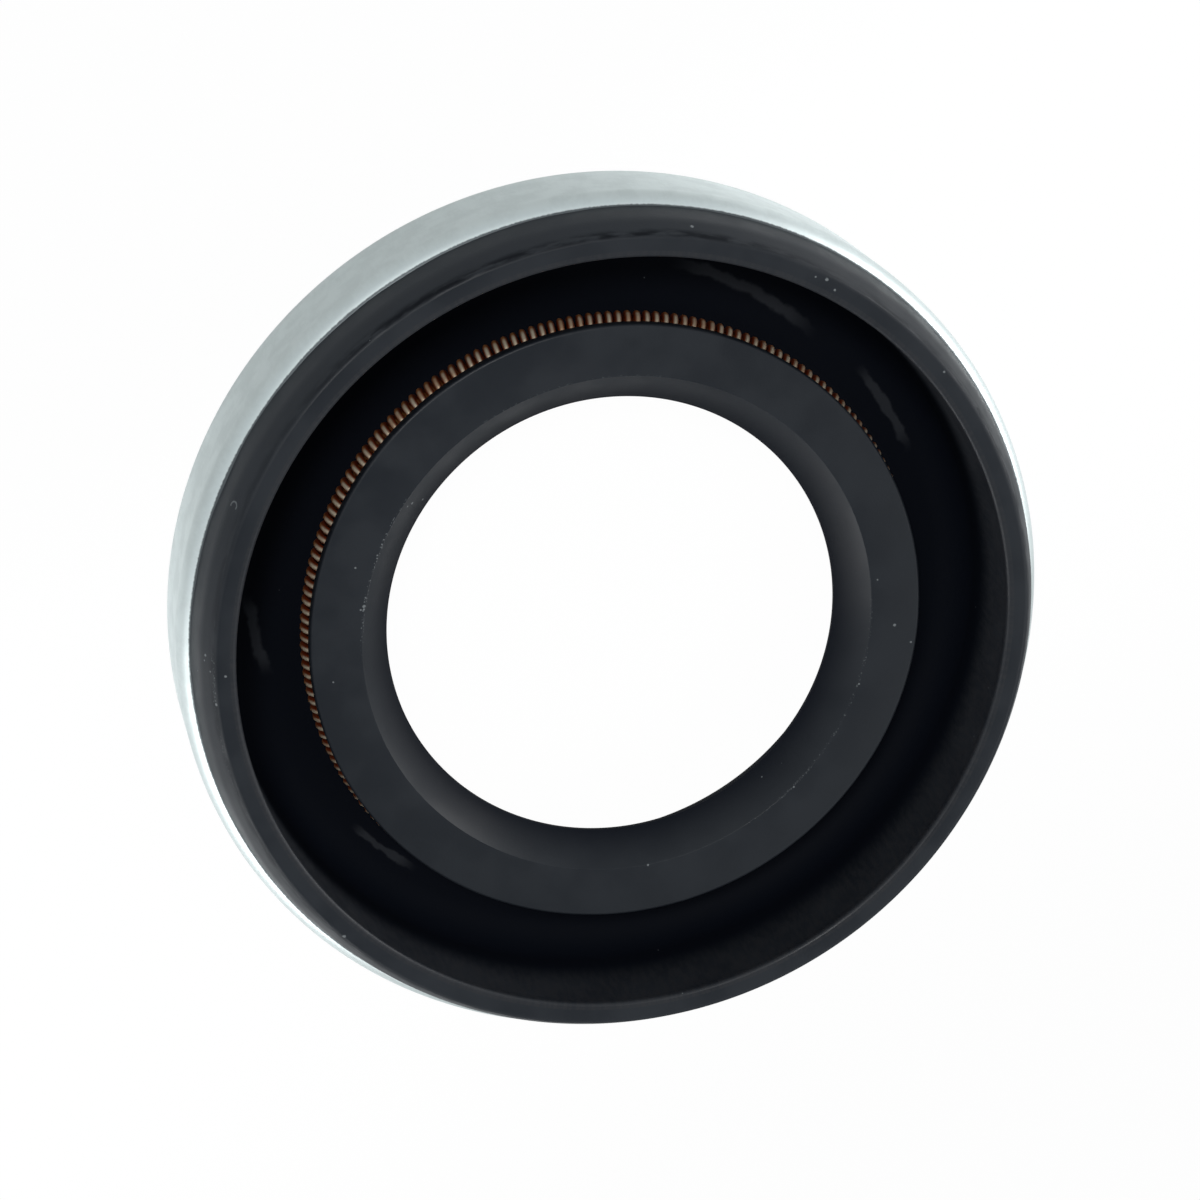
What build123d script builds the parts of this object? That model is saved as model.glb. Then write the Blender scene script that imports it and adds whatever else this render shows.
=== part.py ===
from build123d import *
import math
import os

# Radial shaft seal with a bare steel case, in millimetres.
# The back face lies on z = 0, the seal's axis is Z, and the spring side faces +Z.
# Every section is drawn as (radius, height) and turned about the axis.

# Standard size of the seal
shaft_diameter = 22.0
housing_bore = 40.0
seal_width = 8.0

# Pressed steel case
sheet_thickness = 0.8
back_bend_inner_radius = 0.2
front_roll_inner_radius = 0.3
front_roll_angle = 75.0
front_roll_depth = 3.15  # from the front of the seal down to where the wall starts to roll in
flange_clearance = 2.2  # from the shaft to the edge of the flange's hole

# Rubber nose round the front edge of the case
rim_width = 2.34  # from the outside diameter in to the mouth of the rim
mouth_round = 0.2
face_slope = 4.0  # degrees, the front face sinks from its crease to the mouth
crease_inset = 1.4  # the crease between face and bevel, inside the outside diameter
crease_round = 0.25
shoulder_inset = 0.85  # the bevel's low shoulder, inside the outside diameter
shoulder_depth = 1.0  # below the crease
shoulder_round = 2.0
trim_angle = 60.0  # the bevel ends on the rolled edge of the case, this far round the roll
bead_height = 0.42
bead_step = 0.15  # the mouth of the rim stands this far inside the lining

# Rubber lining inside the case
lining_draft = 0.12
floor_thickness = 0.8
floor_round_share = 0.36  # of the floor's width, where it rises into the lining
heel_recess = 0.25  # the rubber's back face lies this far above the case's
heel_width = 0.9  # rubber inside the flange's edge
heel_round = 0.3

# Sealing lip
lip_interference = 1.04  # on the diameter, before the seal is fitted
edge_height = 4.1
edge_land = 0.2
oil_side_angle = 41.0
air_side_angle = 30.0
brow_thickness = 0.7  # rubber between the groove and the lip's front face
lip_face_width = 2.34
lip_corner_round = 0.15
mouth_flare = 0.12
ledge_reach = 0.2  # the ledge under the groove runs this far out from the middle of the spring
ledge_height = 0.22
ledge_round = 0.15
waist_height = 2.4
waist_thickness = 1.3
waist_round = 0.5
membrane_height = 1.9
membrane_round = 2.0
membrane_foot = 0.55
foot_round = 0.4

# Garter spring
coil_diameter = 1.6
groove_clearance = 0.04
lip_wall = 2.3  # rubber between the sealing edge and the bottom of the groove
spring_lift = 0.12  # the spring lies this far above the sealing edge

case_radius = housing_bore / 2
mouth_radius = case_radius - rim_width
flange_radius = shaft_diameter / 2 + flange_clearance
roll_radius = front_roll_inner_radius + sheet_thickness
lip_radius = (shaft_diameter - lip_interference) / 2
groove_radius = coil_diameter / 2 + groove_clearance
spring_radius = lip_radius + lip_wall + groove_radius
spring_height = edge_height + spring_lift
groove_top = spring_height + groove_radius
groove_bottom = spring_height - groove_radius
lip_face_height = groove_top + brow_thickness


def section(corners):
    # A closed outline from (radius, height, rounding) corners, standing in the XZ plane
    points = [(radius, height) for radius, height, rounding in corners]
    roundings = [rounding for radius, height, rounding in corners]
    outline = FilletPolyline(*points, radius=roundings, close=True)
    return Plane.XZ * make_face(outline)


def case_section():
    # The sheet's outer side: flange, bend, cylindrical wall and the front edge rolled inwards
    bend_radius = back_bend_inner_radius + sheet_thickness
    flange = Line((flange_radius, 0), (case_radius - bend_radius, 0))
    bend = JernArc(flange @ 1, flange % 1, bend_radius, 90)
    wall = Line(bend @ 1, (case_radius, seal_width - front_roll_depth))
    roll = JernArc(wall @ 1, wall % 1, roll_radius, front_roll_angle)
    outer_side = Wire([flange, bend, wall, roll])
    return Plane.XZ * make_face(offset(outer_side, sheet_thickness, side=Side.LEFT))


def trim_point():
    # Radius and height of the place on the rolled edge where the rubber is trimmed
    angle = math.radians(trim_angle)
    radius = case_radius - roll_radius + roll_radius * math.cos(angle)
    return radius, seal_width - front_roll_depth + roll_radius * math.sin(angle)


def crease_height():
    # The corner of the crease stands a little above the front that its rounding leaves
    slope = math.radians(face_slope)
    half_turn = (slope + math.atan2(shoulder_depth, crease_inset - shoulder_inset)) / 2
    return seal_width + crease_round * (math.tan(half_turn) * math.sin(slope) - 1 + math.cos(slope))


def nose_corners():
    # The front face from mouth to crease, and the rounded bevel down to the trimmed edge on the case
    sheet_middle = case_radius - sheet_thickness / 2
    crease_top = crease_height()
    mouth_top = crease_top - (rim_width - crease_inset) * math.tan(math.radians(face_slope))
    return [
        (mouth_radius, mouth_top, mouth_round),
        (case_radius - crease_inset, crease_top, crease_round),
        (case_radius - shoulder_inset, crease_top - shoulder_depth, shoulder_round),
        (*trim_point(), 0),
        (sheet_middle, seal_width - front_roll_depth, 0),
        (sheet_middle, heel_recess, 0),
    ]


def heel_corners():
    # The back of the rubber, inside the flange's edge, and the membrane's air side
    membrane_drop = edge_height - edge_land / 2 - membrane_height
    membrane_radius = lip_radius + membrane_drop * math.tan(math.radians(air_side_angle))
    return [
        (flange_radius - heel_width, heel_recess, heel_round),
        (membrane_radius, membrane_height, membrane_round),
    ]


def lip_corners():
    # The sealing edge between its two cones, the lip's front face and the ledge under the groove
    edge_top = edge_height + edge_land / 2
    cone_width = (lip_face_height - edge_top) * math.tan(math.radians(oil_side_angle))
    face_radius = lip_radius + cone_width
    lip_outside = face_radius + lip_face_width
    return [
        (lip_radius, edge_height - edge_land / 2, 0),
        (lip_radius, edge_top, 0),
        (face_radius, lip_face_height, 0),
        (lip_outside, lip_face_height, lip_corner_round),
        (lip_outside, groove_top + mouth_flare, 0),
        (spring_radius, groove_top, 0),
        (spring_radius, groove_bottom, 0),
        (spring_radius + ledge_reach, groove_bottom, ledge_round),
        (spring_radius + ledge_reach, groove_bottom - ledge_height, ledge_round),
    ]


def cavity_corners():
    # The waist of the membrane, the floor over the flange, the lining and the step under the rim
    waist_drop = edge_height - edge_land / 2 - waist_height
    air_side_radius = lip_radius + waist_drop * math.tan(math.radians(air_side_angle))
    waist_radius = air_side_radius + waist_thickness
    floor_height = sheet_thickness + floor_thickness
    foot_radius = waist_radius + membrane_foot
    lining_radius = mouth_radius + bead_step
    floor_edge = lining_radius - lining_draft
    bead_bottom = seal_width - bead_height
    return [
        (waist_radius, waist_height, waist_round),
        (foot_radius, floor_height, foot_round),
        (floor_edge, floor_height, floor_round_share * (floor_edge - foot_radius)),
        (lining_radius, bead_bottom, 0),
        (mouth_radius, bead_bottom, 0),
    ]


def metal_case():
    return revolve(case_section(), Axis.Z)


def rubber_body():
    # One moulding that fills the rest of its outline round the case, less the groove of the spring
    moulding = section(nose_corners() + heel_corners() + lip_corners() + cavity_corners())
    groove = Plane.XZ * (Pos(spring_radius, spring_height) * Circle(groove_radius))
    return revolve(moulding - case_section() - groove, Axis.Z)


def garter_spring():
    # The outer shape of the close-wound coil, closed into a ring
    coil = Plane.XZ * (Pos(spring_radius, spring_height) * Circle(coil_diameter / 2))
    return revolve(coil, Axis.Z)


os.makedirs("parts", exist_ok=True)
export_step(metal_case(), "parts/metal_case.step")
export_step(rubber_body(), "parts/rubber_body.step")
export_step(garter_spring(), "parts/garter_spring.step")
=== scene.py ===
import math

import bmesh
import bpy
from mathutils import Matrix, Vector, noise


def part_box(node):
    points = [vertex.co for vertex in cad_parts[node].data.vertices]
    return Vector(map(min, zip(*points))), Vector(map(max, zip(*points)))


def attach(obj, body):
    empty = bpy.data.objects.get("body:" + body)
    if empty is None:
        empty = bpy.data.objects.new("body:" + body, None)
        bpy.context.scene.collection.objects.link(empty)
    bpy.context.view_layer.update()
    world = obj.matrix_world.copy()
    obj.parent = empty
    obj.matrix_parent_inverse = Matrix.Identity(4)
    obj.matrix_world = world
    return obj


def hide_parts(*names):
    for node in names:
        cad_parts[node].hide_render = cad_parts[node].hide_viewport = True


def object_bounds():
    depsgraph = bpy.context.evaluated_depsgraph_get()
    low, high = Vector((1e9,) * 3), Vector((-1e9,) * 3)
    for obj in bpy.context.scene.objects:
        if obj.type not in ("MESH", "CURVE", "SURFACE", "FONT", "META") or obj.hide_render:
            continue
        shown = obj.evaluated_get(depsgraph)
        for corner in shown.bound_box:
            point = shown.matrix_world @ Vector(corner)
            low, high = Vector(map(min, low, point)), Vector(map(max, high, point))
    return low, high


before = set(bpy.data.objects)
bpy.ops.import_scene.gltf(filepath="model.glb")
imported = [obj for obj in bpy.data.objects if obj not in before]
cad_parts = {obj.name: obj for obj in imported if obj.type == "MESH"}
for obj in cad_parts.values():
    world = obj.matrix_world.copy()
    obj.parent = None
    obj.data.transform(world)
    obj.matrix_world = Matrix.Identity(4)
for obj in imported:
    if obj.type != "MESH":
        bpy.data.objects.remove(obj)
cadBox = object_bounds()
mm = 0.001


class Socket:
    # An output in a node tree; arithmetic on it adds Math nodes to the tree
    def __init__(self, tree, end=None):
        self.tree = tree
        self.end = end

    def add(self, kind, settings=None, values=None, output=0):
        node = self.tree.nodes.new(kind)
        for name, value in (settings or {}).items():
            setattr(node, name, value)
        for name, value in (values or {}).items():
            if isinstance(value, Socket):
                self.tree.links.new(value.end, node.inputs[name])
            else:
                node.inputs[name].default_value = value
        return Socket(self.tree, node.outputs[output] if len(node.outputs) else None)

    def maths(self, operation, *others):
        values = {place: value for place, value in enumerate((self,) + others)}
        return self.add("ShaderNodeMath", {"operation": operation}, values)

    def __add__(self, other):
        return self.maths("ADD", other)

    def __radd__(self, other):
        return self.maths("ADD", other)

    def __sub__(self, other):
        return self.maths("SUBTRACT", other)

    def __rsub__(self, other):
        return self.add("ShaderNodeMath", {"operation": "SUBTRACT"}, {0: other, 1: self})

    def __mul__(self, other):
        return self.maths("MULTIPLY", other)

    def __rmul__(self, other):
        return self.maths("MULTIPLY", other)

    def __truediv__(self, other):
        return self.maths("DIVIDE", other)

    def __gt__(self, other):
        return self.maths("GREATER_THAN", other)

    def __lt__(self, other):
        return self.maths("LESS_THAN", other)

    def between(self, low, high):
        # 0 below low, 1 above high, and a smooth step in between
        settings = {"interpolation_type": "SMOOTHSTEP"}
        return self.add("ShaderNodeMapRange", settings, {"Value": self, "From Min": low, "From Max": high})

    def blend(self, first, second):
        # First colour where this is 0, second where it is 1
        settings = {"data_type": "RGBA", "clamp_factor": True}
        return self.add("ShaderNodeMix", settings, {0: self, 6: first, 7: second}, output=2)


def newMaterial(name):
    material = bpy.data.materials.new(name)
    material.use_nodes = True
    material.node_tree.nodes.clear()
    return material, Socket(material.node_tree)


def finishMaterial(tree, shader):
    tree.add("ShaderNodeOutputMaterial", values={"Surface": shader})


def noiseValue(tree, place, size, detail=2.0, seed=0.0):
    # Noise from 0 to 1 whose features are about as large as size
    moved = tree.add("ShaderNodeVectorMath", {"operation": "ADD"}, {0: place, 1: (seed, seed, seed)})
    return tree.add("ShaderNodeTexNoise", values={"Vector": moved, "Scale": 1 / size, "Detail": detail})


def flatNoise(tree, across, up, detail):
    # Noise on a turned surface that is rolled out, in steps across and up
    place = tree.add("ShaderNodeCombineXYZ", values={"X": across, "Y": up, "Z": 0.0})
    return tree.add("ShaderNodeTexNoise", values={"Vector": place, "Scale": 1.0, "Detail": detail})


def placeParts(tree):
    # Object coordinates, with the distance from the seal's axis and the height
    place = tree.add("ShaderNodeTexCoord", output="Object")
    x, y, z = (tree.add("ShaderNodeSeparateXYZ", values={0: place}, output=axis) for axis in "XYZ")
    return place, (x * x + y * y).maths("SQRT"), z


def bearing(tree, place):
    # Angle about the seal's axis from +X, in degrees from -180 to 180
    x, y = (tree.add("ShaderNodeSeparateXYZ", values={0: place}, output=axis) for axis in "XY")
    return y.maths("ARCTAN2", x) * math.degrees(1)


def distanceFrom(tree, place, angle, radius, height):
    # Distance from a spot given by its bearing in degrees and its radius and height in mm
    turn = math.radians(angle)
    spot = (radius * math.cos(turn) * mm, radius * math.sin(turn) * mm, height * mm)
    return tree.add("ShaderNodeVectorMath", {"operation": "DISTANCE"}, {0: place, 1: spot}, "Value")


turning = {
    "segments": 448,
    "edgeRounding": 0.05 * mm,  # broken edge on each sharp corner of a section
    "edgeSteps": 4,
    "longestCut": 2,  # times that rounding
    "sideParts": 3,  # a cut takes at most one such part of the side it runs along
    "sharpTurn": 25.0,  # degrees; below this a corner belongs to a round stretch
    "mergeDistance": 0.002 * mm,
}


def sectionOutline(node):
    # The node's section where y = 0 and x > 0, as one closed loop of (radius, height)
    cut = bmesh.new()
    cut.from_mesh(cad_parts[node].data)
    bmesh.ops.remove_doubles(cut, verts=cut.verts, dist=turning["mergeDistance"])
    everything = cut.verts[:] + cut.edges[:] + cut.faces[:]
    found = bmesh.ops.bisect_plane(
        cut, geom=everything, dist=turning["mergeDistance"], plane_co=(0, 0, 0), plane_no=(0, 1, 0)
    )
    neighbours = {}
    for edge in found["geom_cut"]:
        if isinstance(edge, bmesh.types.BMEdge) and all(end.co.x > 0 for end in edge.verts):
            first, second = edge.verts
            neighbours.setdefault(first, []).append(second)
            neighbours.setdefault(second, []).append(first)
    start = min(neighbours, key=lambda vertex: (vertex.co.x, vertex.co.z))
    loop = [start]
    previous, current = None, start
    while True:
        ahead = [vertex for vertex in neighbours[current] if vertex is not previous]
        previous, current = current, ahead[0]
        if current is start:
            break
        loop.append(current)
    outline = [Vector((vertex.co.x, vertex.co.z)) for vertex in loop]
    cut.free()
    area = sum(a.x * b.y - b.x * a.y for a, b in zip(outline, outline[1:] + outline[:1]))
    return outline if area > 0 else outline[::-1]


def breakEdges(outline):
    # A small round on each sharp corner, so that every edge catches a little light
    rounding = turning["edgeRounding"]
    softened = []
    for before, corner, after in zip(outline[-1:] + outline[:-1], outline, outline[1:] + outline[:1]):
        back = before - corner
        ahead = after - corner
        turn = math.pi - back.angle(ahead)
        if math.degrees(turn) < turning["sharpTurn"]:
            softened.append(corner)
            continue
        shortest = min(back.length, ahead.length) / turning["sideParts"]
        reach = min(rounding * math.tan(turn / 2), turning["longestCut"] * rounding, shortest)
        first = corner + back.normalized() * reach
        last = corner + ahead.normalized() * reach
        for step in range(turning["edgeSteps"] + 1):
            share = step / turning["edgeSteps"]
            softened.append(first.lerp(corner, share).lerp(corner.lerp(last, share), share))
    return softened


def turnedMesh(name, outline, material, shift=None):
    # The outline turned about Z; shift may move a point of (radius, height) at an angle
    count = turning["segments"]
    points = []
    for segment in range(count):
        angle = 2 * math.pi * segment / count
        for corner in outline:
            radius, height = shift(corner, angle) if shift else corner
            points.append((radius * math.cos(angle), radius * math.sin(angle), height))
    size = len(outline)
    faces = []
    for segment in range(count):
        here = segment * size
        there = (segment + 1) % count * size
        for place in range(size):
            following = (place + 1) % size
            faces.append((here + following, there + following, there + place, here + place))
    mesh = bpy.data.meshes.new(name)
    mesh.from_pydata(points, [], faces)
    mesh.polygons.foreach_set("use_smooth", [True] * len(faces))
    mesh.materials.append(material)
    piece = bpy.data.objects.new(name, mesh)
    bpy.context.scene.collection.objects.link(piece)
    return piece


def dress(piece, node):
    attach(piece, "root")
    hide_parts(node)


steelCase = {
    "light": (0.67, 0.726, 0.719, 1),
    "dark": (0.62, 0.672, 0.665, 1),
    "mottleSize": 1.3 * mm,
    "mottleShare": 0.8,
    "streakSize": 0.16 * mm,
    "streakShare": 0.2,
    "streakSquash": 0.25,  # along the axis, which draws the streaks out that way
    "patchSpan": (0.36, 0.62),
    "roughness": (0.42, 0.5),
    "bump": (0.12, 0.01 * mm),  # strength and depth
    "trimPaintedShade": (0.1, 0.11, 0.115, 1),  # painted shade: a dark line on the steel along the trimmed rubber's edge
    "trimWidth": 0.045 * mm,
    "trimSpan": (1.5, 0.5),  # the line begins and ends so many widths below the rubber
}


def steelMaterial(marks):
    finish = steelCase
    material, tree = newMaterial("caseSteel")
    place, radius, height = placeParts(tree)
    mottle = noiseValue(tree, place, finish["mottleSize"], detail=4.0)
    squash = (1, 1, finish["streakSquash"])
    squashed = tree.add("ShaderNodeMapping", values={"Vector": place, "Scale": squash})
    streak = noiseValue(tree, squashed, finish["streakSize"], seed=0.4)
    patch = (mottle * finish["mottleShare"] + streak * finish["streakShare"]).between(*finish["patchSpan"])
    low, high = finish["roughness"]
    width = finish["trimWidth"]
    begins, ends = finish["trimSpan"]
    trim = marks["trim"].y + (streak - 0.5) * width
    # Painted shade: the steel darkens in a thin line just below the rubber's trimmed edge
    shade = height.between(trim - width * begins, trim - width * ends)
    metal = patch.blend(finish["dark"], finish["light"])
    strength, depth = finish["bump"]
    bump = tree.add("ShaderNodeBump", values={"Height": streak, "Strength": strength, "Distance": depth})
    shader = tree.add(
        "ShaderNodeBsdfPrincipled",
        values={
            "Base Color": shade.blend(metal, finish["trimPaintedShade"]),
            "Metallic": 1.0,
            "Roughness": high - patch * (high - low),
            "Normal": bump,
        },
    )
    finishMaterial(tree, shader)
    return material


rubberMoulding = {
    "cavityShade": (0.0028, 0.004, 0.0075, 1),  # painted shade deep in the cavity
    "colour": (0.008, 0.0102, 0.014, 1),
    "worn": (0.012, 0.0147, 0.019, 1),
    "dust": (0.13, 0.14, 0.145, 1),
    "cavityShadeFade": (3.6 * mm, 6.0 * mm),  # painted shade: the outer faces are greyer than the cavity, which is painted darker below this span
    "cloudSize": 2.4 * mm,
    "cloudSpan": (0.35, 0.68),
    "cloudShare": 0.6,
    "grainSize": 0.12 * mm,
    "grainShare": 0.3,
    "grainBump": (0.3, 0.01 * mm),  # strength and depth
    "roughness": (0.4, 0.52),
    "gloss": 0.27,
    "deepRoughness": 0.7,
    "deepGloss": 0.07,
    "rimDepth": 0.4 * mm,  # the rim's mouth is looked for this near the front
    "trim": {
        "rollCentre": (18.9 * mm, 4.85 * mm),  # of the rolled edge of the case, in a section
        "turn": 3.0,  # degrees round that centre, up or down
        "reach": 0.7 * mm,  # how far from the trimmed edge the rubber is moved
        "still": 0.1 * mm,  # what lies further below that edge stays
        "waves": 14.0,  # roughly, in one turn of the seal
        "rippleTimes": 3.1,
        "rippleShare": 0.4,
    },
    "crease": {
        "colour": (0.003, 0.004, 0.006, 1),
        "inside": 1.32 * mm,  # middle of the dark marks, inside the outside diameter
        "width": 0.2 * mm,
        "length": 1.3 * mm,
        "span": (0.34, 0.6),
        "depth": 1.4 * mm,  # there are none further below the front
        "strong": (-109, 30),  # bearing of their strongest stretch and its half length, degrees
        "weaken": (0.6, 1.4),  # shares of that half length between which they grow weak
        "elsewhere": 0.3,
        "bump": (0.5, 0.02 * mm),
        "roughness": 0.3,  # more than on the rubber round them
        "dullness": 0.8,
    },
    "lining": {
        "height": (3.6 * mm, 5.6 * mm),  # painted light: the upper wall is painted lighter and browner than the cavity below
        "colour": (0.0155, 0.0165, 0.0195, 1),
        "lineWidth": 0.22 * mm,
        "lineLength": 1.0 * mm,
        "lineSpan": (0.4, 0.6),
        "plain": 0.35,  # share of the colour between the lines
        "inwards": 0.02 * mm,  # from the mouth of the rim
        "outwards": 0.3 * mm,
    },
    "dustLines": {
        # name: (middle and half length in degrees, radius, height and half width in mm, share of crumbs)
        "lipLeft": (-50, 22, 11.84, 5.76, 0.07, 1.0),
        "lipRight": (122, 34, 11.84, 5.76, 0.06, 0.45),
        "lipUpper": (-110, 34, 11.84, 5.76, 0.06, 0.2),
        "noseLeft": (-31.5, 5, 18.68, 7.86, 0.06, 0.7),
        "noseLower": (-20, 8, 18.7, 7.85, 0.05, 0.35),
    },
    "crumbs": {
        "size": 0.1 * mm,
        "span": (0.56, 0.68),
        "fullUntil": 0.4,  # of a line's half length
    },
    "specks": {
        # name: (bearing in degrees, radius, height, half width), millimetres
        "noseLeft": (-35, 18.95, 7.36, 0.06),
        "noseLeftBeside": (-34.2, 19.0, 7.3, 0.04),
        "noseLeftLower": (-32.5, 18.16, 7.97, 0.05),
        "noseCrumb": (-28.5, 18.65, 7.9, 0.06),
        "noseCrumbBeside": (-33, 18.78, 7.66, 0.04),
        "noseFar": (11.7, 18.52, 7.98, 0.07),
        "noseTop": (-130.5, 18.95, 7.36, 0.07),
        "noseRight": (-150.2, 18.4, 7.98, 0.07),
        "noseRightBeside": (-152, 18.15, 7.97, 0.05),
        "noseRightUpper": (-148.6, 18.3, 7.98, 0.04),
        "noseBelow": (-172.5, 18.4, 7.98, 0.05),
        "coneLeft": (-67, 11.4, 5.24, 0.06),
        "coneLeftBeside": (-68.5, 10.9, 4.7, 0.05),
        "coneLeftAbove": (-66, 11.55, 5.42, 0.04),
        "lipFibre": (-42, 11.88, 5.76, 0.06),
        "lipFibreBeside": (-41.2, 12.0, 5.76, 0.04),
        "lipLeft": (-50, 12.64, 5.76, 0.04),
        "lipLower": (-26, 13.25, 5.76, 0.035),
        "lipRight": (144, 13.0, 5.76, 0.06),
        "lipRightUpper": (154.5, 12.16, 5.76, 0.04),
        "lipRightOuter": (140.5, 13.9, 5.76, 0.045),
        "lipRightRim": (130, 11.9, 5.76, 0.04),
        "lipLowerRim": (102, 11.88, 5.76, 0.04),
        "lipFarRim": (64, 11.86, 5.76, 0.05),
        "coneFar": (98, 10.88, 4.7, 0.04),
    },
    "speckEdge": {
        "size": 0.06 * mm,
        "span": (0.2, 0.9),
    },
    "hairs": {
        # name: (bearing, radius and height of the middle, radius of the curl, half thickness), millimetres
        "noseUpper": (-55.7, 19.0, 7.27, 0.2, 0.035),
    },
    "hairCurl": {
        "past": 0.2,  # degrees past its middle, where the curl is left open
        "share": 0.6,
    },
    "fineDust": {
        "spacing": 0.9 * mm,
        "halfWidth": 0.035 * mm,
        "chance": 0.12,
        "share": 0.6,
    },
    "paintedGlints": {
        # name: (bearings where it starts and ends, radii there in mm, half width in mm)
        "upper": (-133, -163, 16.2, 15.75, 0.36),
        "right": (-171, -190, 16.0, 16.05, 0.3),
        "left": (-38, -23, 16.5, 15.75, 0.33),
        "lower": (8, 23, 15.7, 15.6, 0.24),
    },
    "glintPatchFinish": {
        "colour": (0.025, 0.0275, 0.033, 1),
        "edge": 0.26 * mm,  # how far the outline wanders
        "wanderSize": 0.8 * mm,
        "core": 0.4,  # share of the half width that is full
        "begun": 0.25,  # shares of the length where it is full and where it starts to fade
        "fading": 0.7,
        "below": 2.6 * mm,
    },
}


def landmarks(outline):
    # Radius of the rim's mouth, and the trimmed edge as (radius, height)
    front = max(corner.y for corner in outline)
    mouth = min(corner.x for corner in outline if corner.y > front - rubberMoulding["rimDepth"])
    trim = max(outline, key=lambda corner: corner.x)
    return {"mouth": mouth, "trim": trim}


def wanderingTrim(trim):
    # The trimmed edge of the rubber creeps up and down the rolled steel, never quite level
    wander = rubberMoulding["trim"]
    centre = Vector(wander["rollCentre"])

    def shift(corner, angle):
        away = (corner - trim).length / wander["reach"]
        if away >= 1 or corner.y < trim.y - wander["still"]:
            return corner
        place = Vector((math.cos(angle), math.sin(angle), 0)) * (wander["waves"] / math.pi)
        ripple = noise.noise(place * wander["rippleTimes"])
        level = noise.noise(place) + wander["rippleShare"] * ripple
        fade = (1 - away * away) ** 2
        turned = Matrix.Rotation(math.radians(wander["turn"]) * level * fade, 2)
        return centre + turned @ (corner - centre)

    return shift


def speckMask(tree, place, angle):
    # 1 on the single pale specks, less on pieces of curled hair
    edge = rubberMoulding["speckEdge"]
    hair = rubberMoulding["hairCurl"]
    rough = noiseValue(tree, place, edge["size"], detail=1.0, seed=0.2)
    mask = 0.0
    for middle, radius, height, size in rubberMoulding["specks"].values():
        away = distanceFrom(tree, place, middle, radius, height) / (size * mm)
        mask = (1 - (away - rough).between(*edge["span"])).maths("MAXIMUM", mask)
    for middle, radius, height, curl, half in rubberMoulding["hairs"].values():
        away = distanceFrom(tree, place, middle, radius, height) / mm
        line = (away - curl).maths("ABSOLUTE") < 2 * half * rough
        mask = (line * (angle < middle + hair["past"]) * hair["share"]).maths("MAXIMUM", mask)
    return mask


def fineDustMask(tree, place):
    # A few tiny crumbs scattered over the whole moulding
    dust = rubberMoulding["fineDust"]
    cells = tree.add("ShaderNodeTexVoronoi", values={"Vector": place, "Scale": 1 / dust["spacing"]})
    colour = Socket(tree, cells.end.node.outputs["Color"])
    red = tree.add("ShaderNodeSeparateXYZ", values={0: colour}, output="X")
    return (cells < dust["halfWidth"] / dust["spacing"]) * (red < dust["chance"])


def dustLineMask(tree, place, radius, height, angle):
    # Pale crumbs in broken lines along the edges of the moulding
    crumbs = rubberMoulding["crumbs"]
    crumb = noiseValue(tree, place, crumbs["size"], seed=0.3).between(*crumbs["span"])
    mask = 0.0
    for middle, reach, lineRadius, lineHeight, half, share in rubberMoulding["dustLines"].values():
        across = (radius - lineRadius * mm).maths("ABSOLUTE") < half * mm
        level = (height - lineHeight * mm).maths("ABSOLUTE") < 2 * half * mm
        thick = 1 - (angle - middle).maths("ABSOLUTE").between(crumbs["fullUntil"] * reach, reach)
        mask = (across * level * thick * share).maths("MAXIMUM", mask)
    return mask * crumb


def glintPatchMask(tree, place, radius, height, angle):
    # Painted glints: lighter patches on the floor of the cavity
    finish = rubberMoulding["glintPatchFinish"]
    wander = (noiseValue(tree, place, finish["wanderSize"], detail=3.0, seed=0.9) - 0.5) * finish["edge"] * 2
    mask = 0.0
    for start, end, startRadius, endRadius, half in rubberMoulding["paintedGlints"].values():
        # A patch that crosses the seam at 180 degrees is measured on past -180
        turned = angle - 360 * (angle > 90) if min(start, end) < -180 else angle
        along = (turned - start) / (end - start)
        middle = along * (endRadius - startRadius) * mm + startRadius * mm
        across = (radius - middle + wander).maths("ABSOLUTE")
        ends = along.between(0, finish["begun"]) * (1 - along.between(finish["fading"], 1))
        inside = 1 - across.between(finish["core"] * half * mm, half * mm)
        mask = (inside * ends).maths("MAXIMUM", mask)
    return mask * (height < finish["below"])


def creaseMask(tree, radius, height, angle):
    # Irregular dark marks where the front face bends into the bevel
    crease = rubberMoulding["crease"]
    middle = cadBox[1][0] - crease["inside"]
    along = angle * math.radians(1) * middle / crease["length"]
    marks = flatNoise(tree, along, radius / crease["width"], detail=3.0)
    near = 1 - (radius - middle).maths("ABSOLUTE").between(0.0, crease["width"])
    front = height > cadBox[1][2] - crease["depth"]
    strongest, reach = crease["strong"]
    full, faint = crease["weaken"]
    weak = (angle - strongest).maths("ABSOLUTE").between(full * reach, faint * reach)
    strength = 1 - weak * (1 - crease["elsewhere"])
    return marks.between(*crease["span"]) * near * front * strength


def litWallMask(tree, radius, height, angle, mouth):
    # Painted light on the upper part of the lining, broken up by fine upright tool lines
    lining = rubberMoulding["lining"]
    wall = (radius > mouth - lining["inwards"]) * (radius < mouth + lining["outwards"])
    along = angle * math.radians(1) * mouth / lining["lineWidth"]
    lines = flatNoise(tree, along, height / lining["lineLength"], detail=2.0).between(*lining["lineSpan"])
    return wall * height.between(*lining["height"]) * (lining["plain"] + lines * (1 - lining["plain"]))


def rubberShader(tree, colour, roughness, gloss, bump):
    values = {"Base Color": colour, "Roughness": roughness, "Specular IOR Level": gloss, "Normal": bump}
    return tree.add("ShaderNodeBsdfPrincipled", values=values)


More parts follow.
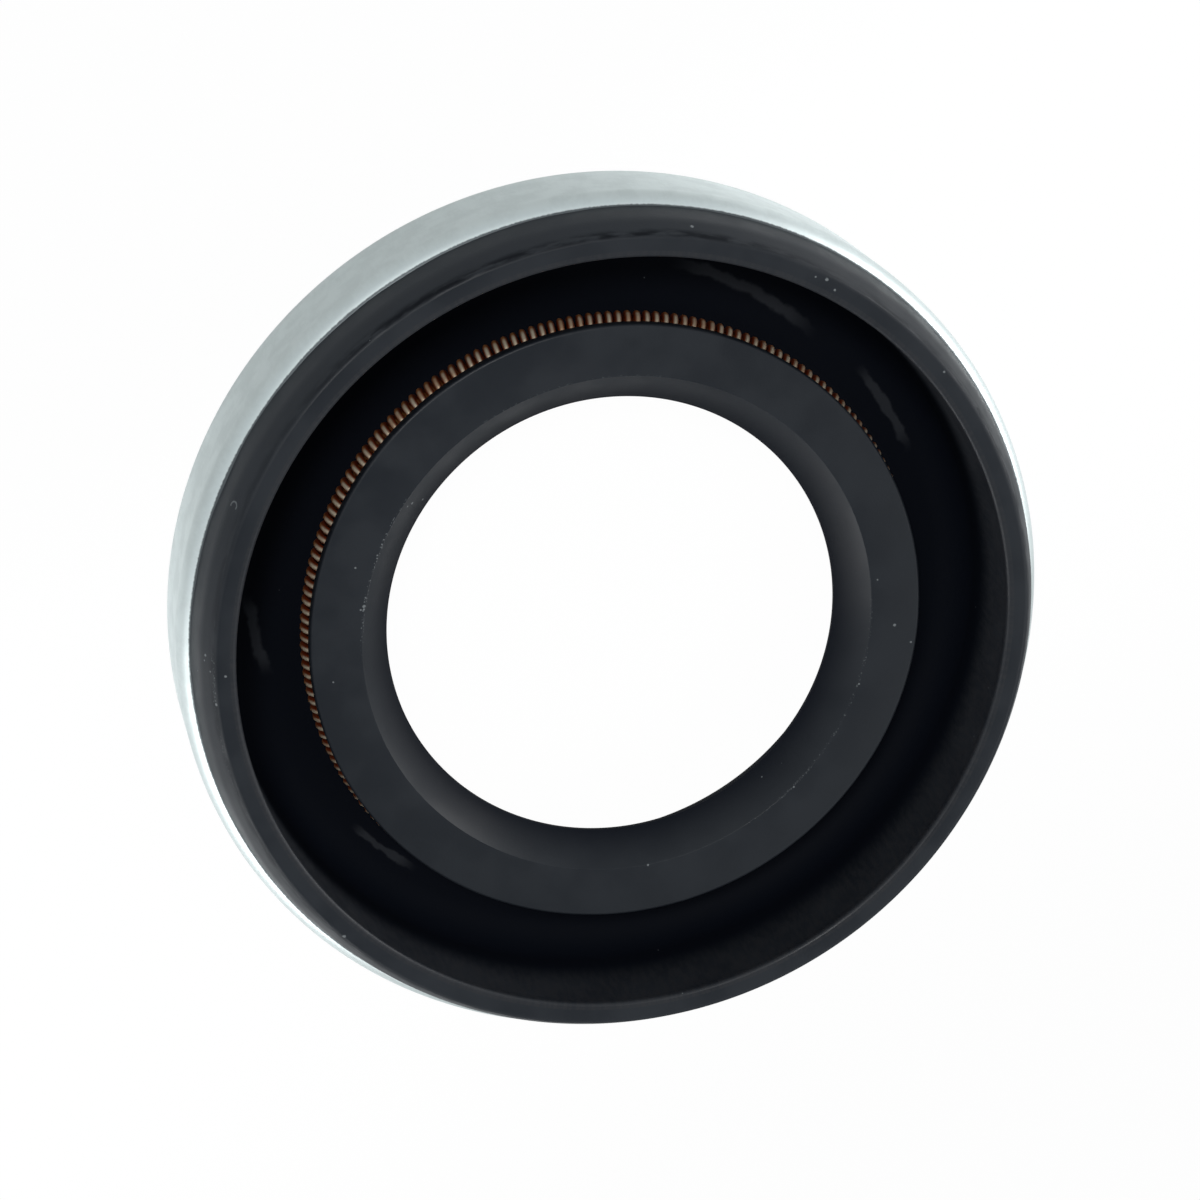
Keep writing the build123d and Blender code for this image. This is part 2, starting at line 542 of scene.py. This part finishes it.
def rubberMaterial(marks):
    finish = rubberMoulding
    material, tree = newMaterial("sealRubber")
    place, radius, height = placeParts(tree)
    angle = bearing(tree, place)
    cloud = noiseValue(tree, place, finish["cloudSize"], detail=3.0).between(*finish["cloudSpan"])
    grain = noiseValue(tree, place, finish["grainSize"], seed=0.7)
    wear = cloud * finish["cloudShare"] + grain * finish["grainShare"]
    # Painted shade: the colour darkens down into the cavity below that span; the same mask also gives the
    # duller deep shader there
    clearOfCavityShade = height.between(*finish["cavityShadeFade"])
    toneWithCavityShade = clearOfCavityShade.blend(finish["cavityShade"], wear.blend(finish["colour"], finish["worn"]))
    wall = litWallMask(tree, radius, height, angle, marks["mouth"])
    crease = creaseMask(tree, radius, height, angle)
    glintPatch = glintPatchMask(tree, place, radius, height, angle)
    dust = speckMask(tree, place, angle)
    dust = dust.maths("MAXIMUM", dustLineMask(tree, place, radius, height, angle))
    dust = dust.maths("MAXIMUM", fineDustMask(tree, place) * finish["fineDust"]["share"])
    # Painted light on the upper lining wall
    colour = wall.blend(toneWithCavityShade, finish["lining"]["colour"])
    colour = crease.blend(colour, finish["crease"]["colour"])
    # Painted glints on the cavity floor
    colour = glintPatch.blend(colour, finish["glintPatchFinish"]["colour"])
    colour = dust.blend(colour, finish["dust"])
    strength, depth = finish["grainBump"]
    bump = tree.add("ShaderNodeBump", values={"Height": grain, "Strength": strength, "Distance": depth})
    strength, depth = finish["crease"]["bump"]
    sunk = {"Height": 1 - crease, "Strength": strength, "Distance": depth, "Normal": bump}
    bump = tree.add("ShaderNodeBump", values=sunk)
    low, high = finish["roughness"]
    roughness = low + cloud * (high - low) + crease * finish["crease"]["roughness"]
    outer = rubberShader(tree, colour, roughness, finish["gloss"], bump)
    deep = rubberShader(tree, colour, finish["deepRoughness"], finish["deepGloss"], bump)
    shine = clearOfCavityShade * (1 - crease * finish["crease"]["dullness"])
    finishMaterial(tree, tree.add("ShaderNodeMixShader", values={0: shine, 1: deep, 2: outer}))
    return material


wireSpring = {
    "turns": 205,
    "stepsPerTurn": 20,
    "wireSides": 10,
    "wireThickness": 0.33 * mm,
    # the colour is a painted highlight, shown only in the band round the winding angle below; elsewhere the
    # tarnish, which also stands for the unlit side
    "colour": (1.0, 0.86, 0.64, 1),
    "tarnishAndShade": (0.66, 0.27, 0.09, 1),
    "highlightBand": (38, 8, 34),  # painted highlight: brightest at this winding angle, to the second and none past the third, degrees
    "between": (0.26, 0.045, 0.01, 1),  # painted shade deep between the turns
    "turnShadeSpan": (0.1, 0.8),  # shares of the wire's radius over which it sets in
    "grimeSize": 1.5 * mm,
    "grimeSpan": (0.45, 0.75),
    "grimeShare": 0.6,
    "metal": 0.7,
    "roughness": (0.3, 0.36),
}


def windingSizes():
    low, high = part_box("garter_spring")
    coilRadius = (high.z - low.z) / 2
    wireRadius = wireSpring["wireThickness"] / 2
    return {
        "Ring Radius": high.x - coilRadius,
        "Winding Radius": coilRadius - wireRadius,
        "Wire Radius": wireRadius,
        "Height": (high.z + low.z) / 2,
        "Turns": wireSpring["turns"],
        "Steps Per Turn": wireSpring["stepsPerTurn"],
        "Wire Sides": wireSpring["wireSides"],
    }


def springMaterial(sizes):
    finish = wireSpring
    material, tree = newMaterial("springWire")
    place, radius, height = placeParts(tree)
    grime = noiseValue(tree, place, finish["grimeSize"], detail=3.0).between(*finish["grimeSpan"])
    # Distance along the ring from the middle of the wire, as a share of the wire's radius
    winding = (height - sizes["Height"]).maths("ARCTAN2", radius - sizes["Ring Radius"]) / (2 * math.pi)
    turn = bearing(tree, place) * (sizes["Turns"] / 360) - winding
    pitch = 2 * math.pi * sizes["Ring Radius"] / sizes["Turns"]
    aside = turn.maths("WRAP", 0.5, -0.5).maths("ABSOLUTE") * (pitch / sizes["Wire Radius"])
    # Painted highlight: a bright band round one winding angle, with painted shade and real grime outside it
    middle, bright, dull = finish["highlightBand"]
    patch = (winding * 360 - middle).maths("ABSOLUTE").between(bright, dull)
    patch = patch.maths("MAXIMUM", grime * finish["grimeShare"])
    metal = patch.blend(finish["colour"], finish["tarnishAndShade"])
    low, high = finish["roughness"]
    shader = tree.add(
        "ShaderNodeBsdfPrincipled",
        values={
            # Painted shade: darker towards the gaps between the turns
            "Base Color": aside.between(*finish["turnShadeSpan"]).blend(metal, finish["between"]),
            "Metallic": finish["metal"],
            "Roughness": low + patch * (high - low),
        },
    )
    finishMaterial(tree, shader)
    return material


def coilTree(material):
    # A wire wound round the circle in which the spring lies, as one closed curve with a round section
    tree = bpy.data.node_groups.new("woundWire", "GeometryNodeTree")
    sockets = tree.interface
    for name in ("Ring Radius", "Winding Radius", "Wire Radius", "Height"):
        sockets.new_socket(name, in_out="INPUT", socket_type="NodeSocketFloat")
    for name in ("Turns", "Steps Per Turn", "Wire Sides"):
        sockets.new_socket(name, in_out="INPUT", socket_type="NodeSocketInt")
    sockets.new_socket("Geometry", in_out="OUTPUT", socket_type="NodeSocketGeometry")
    root = Socket(tree)
    inputs = root.add("NodeGroupInput").end.node.outputs
    given = {socket.name: Socket(tree, socket) for socket in inputs if socket.name}
    count = given["Turns"] * given["Steps Per Turn"]
    line = root.add("GeometryNodeMeshLine", values={"Count": count})
    curve = root.add("GeometryNodeMeshToCurve", values={"Mesh": line})
    along = root.add("GeometryNodeInputIndex") * (2 * math.pi) / count
    winding = along * given["Turns"]
    radius = given["Ring Radius"] + given["Winding Radius"] * winding.maths("COSINE")
    place = root.add(
        "ShaderNodeCombineXYZ",
        values={
            "X": radius * along.maths("COSINE"),
            "Y": radius * along.maths("SINE"),
            "Z": given["Height"] + given["Winding Radius"] * winding.maths("SINE"),
        },
    )
    wound = root.add("GeometryNodeSetPosition", values={"Geometry": curve, "Position": place})
    closed = root.add("GeometryNodeSetSplineCyclic", values={"Geometry": wound, "Cyclic": True})
    circle = {"Resolution": given["Wire Sides"], "Radius": given["Wire Radius"]}
    section = root.add("GeometryNodeCurvePrimitiveCircle", values=circle)
    wire = root.add("GeometryNodeCurveToMesh", values={"Curve": closed, "Profile Curve": section})
    smooth = root.add("GeometryNodeSetShadeSmooth", values={"Geometry": wire})
    real = root.add("GeometryNodeRealizeInstances", values={"Geometry": smooth})
    dressed = root.add("GeometryNodeSetMaterial", values={"Geometry": real, "Material": material})
    root.add("NodeGroupOutput", values={"Geometry": dressed})
    return tree


def grown(name, tree, sizes):
    # Runs a Geometry Nodes tree on an empty mesh and keeps the result as a plain mesh
    carrier = bpy.data.objects.new(name + "Carrier", bpy.data.meshes.new(name + "Carrier"))
    bpy.context.scene.collection.objects.link(carrier)
    modifier = carrier.modifiers.new(name, "NODES")
    modifier.node_group = tree
    for socket in tree.interface.items_tree:
        if socket.in_out == "INPUT":
            modifier[socket.identifier] = sizes[socket.name]
    bpy.context.view_layer.update()
    evaluated = carrier.evaluated_get(bpy.context.evaluated_depsgraph_get())
    mesh = bpy.data.meshes.new_from_object(evaluated)
    bpy.data.objects.remove(carrier)
    mesh.name = name
    piece = bpy.data.objects.new(name, mesh)
    bpy.context.scene.collection.objects.link(piece)
    return piece


studio = {
    "floorSize": 1.6,
    "floorColour": (0.96, 0.965, 0.965, 1),
    "floorNearShade": (0.5, 0.51, 0.51, 1),  # painted shade: in front of the seal and behind it the paper is darker
    "floorFarShade": (0.24, 0.25, 0.26, 1),
    "floorNearShadeEnds": (-22.5 * mm, -12 * mm),
    "floorFarShadeBegins": (4 * mm, 34 * mm),
    "floorForCamera": 0.98,  # share of plain white that the camera sees there
    "floorForGloss": 0.12,
    "overheadLevel": 0.03,  # of the room straight above the seal
    "roomLevel": 0.66,  # of the room all round it
    "overheadEdge": (0.955, 0.84),  # sines of the elevations between which one turns into the other
    "roomColour": (0.9, 0.96, 1.0, 1),
    "lampDistance": 0.5,
    "lamps": {
        # name: azimuth and elevation in degrees, width and height in metres, level
        "farLamp": (128, 50, 0.4, 0.16, 0.14),
        "frontLamp": (-90, 62, 0.1, 0.1, 0.4),
        "leftLamp": (13, 13, 0.4, 0.18, 0.46),
        "rightLamp": (164, 13, 0.4, 0.18, 0.54),
    },
}
white = (1, 1, 1, 1)


def makeFloor():
    half = studio["floorSize"] / 2
    corners = [(-half, -half, 0), (half, -half, 0), (half, half, 0), (-half, half, 0)]
    mesh = bpy.data.meshes.new("floor")
    mesh.from_pydata(corners, [], [(0, 1, 2, 3)])
    material, tree = newMaterial("floorPaper")
    cameraRay = tree.add("ShaderNodeLightPath", output="Is Camera Ray")
    glossRay = tree.add("ShaderNodeLightPath", output="Is Glossy Ray")
    share = cameraRay * studio["floorForCamera"] + glossRay * studio["floorForGloss"]
    place = tree.add("ShaderNodeTexCoord", output="Object")
    back = tree.add("ShaderNodeSeparateXYZ", values={0: place}, output="Y")
    # Painted shade on the paper in front of the seal and behind it, which the seal's steel and rubber
    # reflect
    tone = back.between(*studio["floorNearShadeEnds"]).blend(studio["floorNearShade"], studio["floorColour"])
    tone = back.between(*studio["floorFarShadeBegins"]).blend(tone, studio["floorFarShade"])
    paper = tree.add("ShaderNodeBsdfDiffuse", values={"Color": tone})
    glow = tree.add("ShaderNodeEmission", values={"Color": white, "Strength": 1.0})
    finishMaterial(tree, tree.add("ShaderNodeMixShader", values={0: share, 1: paper, 2: glow}))
    mesh.materials.append(material)
    floor = bpy.data.objects.new("floor", mesh)
    bpy.context.scene.collection.objects.link(floor)


def makeRoom():
    # Soft light from all round that is dim straight above, and plain white for the camera
    world = bpy.data.worlds.new("softRoom")
    world.use_nodes = True
    world.node_tree.nodes.clear()
    tree = Socket(world.node_tree)
    cameraRay = tree.add("ShaderNodeLightPath", output="Is Camera Ray")
    sky = tree.add("ShaderNodeTexCoord", output="Generated")
    sine = tree.add("ShaderNodeSeparateXYZ", values={0: sky}, output="Z")
    high, low = studio["overheadEdge"]
    overhead = sine.between(low, high)
    level = studio["roomLevel"] - overhead * (studio["roomLevel"] - studio["overheadLevel"])
    colour = cameraRay.blend(studio["roomColour"], white)
    strength = level * (1 - cameraRay) + cameraRay
    light = tree.add("ShaderNodeBackground", values={"Color": colour, "Strength": strength})
    tree.add("ShaderNodeOutputWorld", values={"Surface": light})
    bpy.context.scene.world = world


def hangLamps():
    for name, (azimuth, elevation, width, height, level) in studio["lamps"].items():
        lamp = bpy.data.lights.new(name, "AREA")
        lamp.shape = "RECTANGLE"
        lamp.size = width
        lamp.size_y = height
        # A level of 1 lights a white card that faces the lamp to full white
        lamp.energy = level * (math.pi * studio["lampDistance"]) ** 2
        fixture = bpy.data.objects.new(name, lamp)
        bpy.context.scene.collection.objects.link(fixture)
        turn = math.radians(azimuth)
        rise = math.radians(elevation)
        flat = math.cos(rise)
        direction = Vector((flat * math.cos(turn), flat * math.sin(turn), math.sin(rise)))
        fixture.location = direction * studio["lampDistance"]
        fixture.rotation_euler = direction.to_track_quat("Z", "Y").to_euler()


cameraView = {
    "picturePixels": 1200,
    "sensorWidth": 36.0,  # mm, spread over the whole picture
    "distance": 140 * mm,  # from the lens to the middle of the seal's front
    "nearClip": 10 * mm,
    "pixelsPerRadius": 448.4,  # of the outside diameter, at that distance
    "frontCentre": (632.8, 645.9),  # pixel under the middle of the seal's front
    "tilt": 23.1,  # degrees between the seal's axis and the line of sight
    "nearSide": 235.5,  # bearing in degrees where the seal comes nearest to the lens
}


def placeCamera():
    view = cameraView
    outside = (cadBox[1][0] - cadBox[0][0]) / 2
    front = Vector((0, 0, cadBox[1][2]))
    tilt = math.radians(view["tilt"])
    near = math.radians(view["nearSide"])
    # Directions as the lens sees them: x to the right, y down, z away
    back = Vector((math.sin(tilt) * math.cos(near), math.sin(tilt) * math.sin(near), math.cos(tilt)))
    nearest = Vector((math.cos(tilt) * math.cos(near), math.cos(tilt) * math.sin(near), -math.sin(tilt)))
    seen = Matrix(((-nearest).cross(-back), -nearest, -back)).transposed()
    half = view["picturePixels"] / 2
    across = (view["frontCentre"][0] - half) / view["pixelsPerRadius"] * outside
    down = (view["frontCentre"][1] - half) / view["pixelsPerRadius"] * outside
    lens = front - seen.transposed() @ Vector((across, down, view["distance"]))
    camera = bpy.data.cameras.new("camera")
    camera.sensor_width = view["sensorWidth"]
    pixels = view["pixelsPerRadius"] * view["distance"] / outside
    camera.lens = pixels * view["sensorWidth"] / view["picturePixels"]
    camera.clip_start = view["nearClip"]
    rig = bpy.data.objects.new("camera", camera)
    bpy.context.scene.collection.objects.link(rig)
    flip = Matrix.Diagonal((1, -1, -1))
    rig.matrix_world = Matrix.Translation(lens) @ (seen.transposed() @ flip).to_4x4()
    bpy.context.scene.camera = rig


bpy.context.scene.view_settings.view_transform = "Standard"
placeCamera()
print("camera placed")
makeFloor()
makeRoom()
hangLamps()
print("studio lit")
mouldingOutline = sectionOutline("rubber_body")
marks = landmarks(mouldingOutline)
steel = steelMaterial(marks)
rubber = rubberMaterial(marks)
winding = windingSizes()
wire = springMaterial(winding)
print("materials made")
caseShell = turnedMesh("caseShell", breakEdges(sectionOutline("metal_case")), steel)
dress(caseShell, "metal_case")
sealMoulding = turnedMesh("sealMoulding", breakEdges(mouldingOutline), rubber, wanderingTrim(marks["trim"]))
dress(sealMoulding, "rubber_body")
garterSpring = grown("garterSpring", coilTree(wire), winding)
dress(garterSpring, "garter_spring")
print("pieces made")
